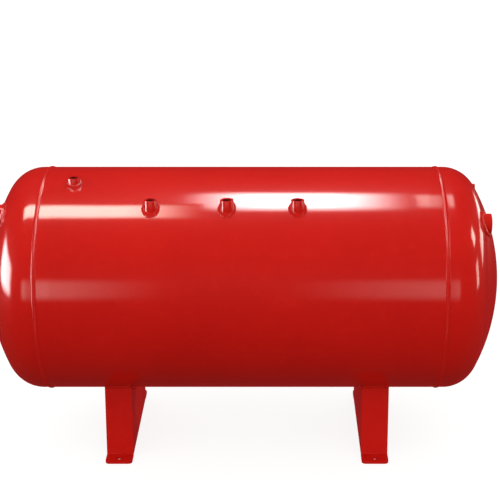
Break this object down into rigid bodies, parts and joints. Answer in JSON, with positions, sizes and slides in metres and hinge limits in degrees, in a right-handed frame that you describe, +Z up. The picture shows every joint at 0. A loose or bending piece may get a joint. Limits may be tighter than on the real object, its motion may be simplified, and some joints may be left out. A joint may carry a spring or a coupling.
{
  "type": "air receiver tank",
  "caption": "Horizontal welded air receiver: rolled shell, dished heads, threaded sockets on the upper front, a boss on each head and two plate supports with bolt-down feet.",
  "frame": {"origin": "on the floor, under the middle of the vessel", "axes": "+X along the vessel axis to the right, -Y towards the front row of sockets, +Z up"},
  "size_m": [1.1418, 0.5048, 0.6356],
  "materials": {
    "red_paint": "gloss",
    "painted_weld": "gloss",
    "support_paint": "satin",
    "bare_steel": "mill"
  },
  "bodies": {
    "root": {"shell": "red_paint", "head_left": "red_paint", "head_right": "red_paint", "girth_weld_left": "painted_weld", "girth_weld_right": "painted_weld", "backing_ring_left": "bare_steel", "backing_ring_right": "bare_steel", "shell_seam_weld": "painted_weld", "safety_valve_socket": "red_paint", "inlet_socket": "red_paint", "switch_socket": "red_paint", "outlet_socket": "red_paint", "drain_socket": "red_paint", "safety_valve_socket_weld": "painted_weld", "inlet_socket_weld": "painted_weld", "switch_socket_weld": "painted_weld", "outlet_socket_weld": "painted_weld", "drain_socket_weld": "painted_weld", "head_boss_left": "red_paint", "head_boss_right": "red_paint", "head_boss_weld_left": "painted_weld", "head_boss_weld_right": "painted_weld", "earth_lug": "red_paint", "support_web_left": "support_paint", "support_web_right": "support_paint", "front_leg_left": "support_paint", "rear_leg_left": "support_paint", "front_leg_right": "support_paint", "rear_leg_right": "support_paint", "support_welds_left": "painted_weld", "support_welds_right": "painted_weld"}
  },
  "joints": []
}
